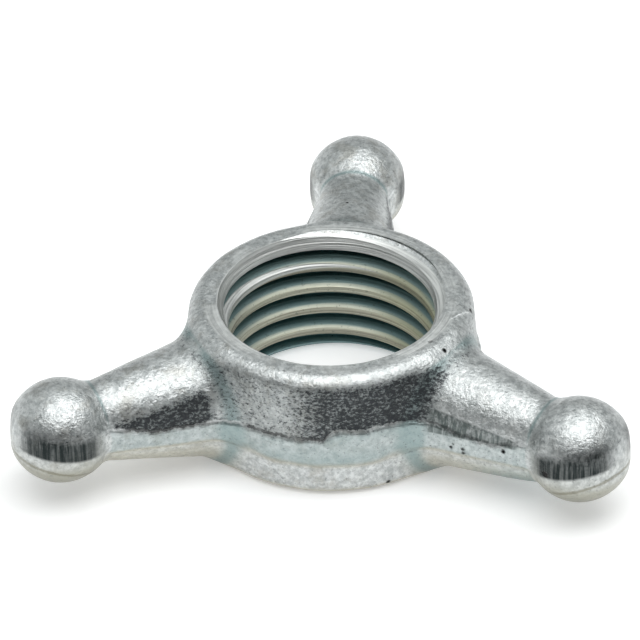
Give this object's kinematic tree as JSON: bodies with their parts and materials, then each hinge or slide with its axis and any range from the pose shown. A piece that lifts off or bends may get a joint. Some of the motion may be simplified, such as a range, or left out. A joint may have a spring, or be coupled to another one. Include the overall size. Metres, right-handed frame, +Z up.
{
  "type": "lock nut",
  "caption": "Forged and zinc-plated lock nut: a ring with a coarse internal thread and ball-ended arms to turn it by hand or with a bar.",
  "frame": {"origin": "on the bore's axis, at the hub's bottom face", "axes": "+Z up along the bore, +Y along the first arm; the other arms follow every 120 degrees"},
  "size_m": [0.0936, 0.0832, 0.0212],
  "materials": {
    "zinc_plate": "bright zinc plate over a shot-blasted forging"
  },
  "bodies": {
    "root": {"lock_nut": "zinc_plate"}
  },
  "joints": []
}
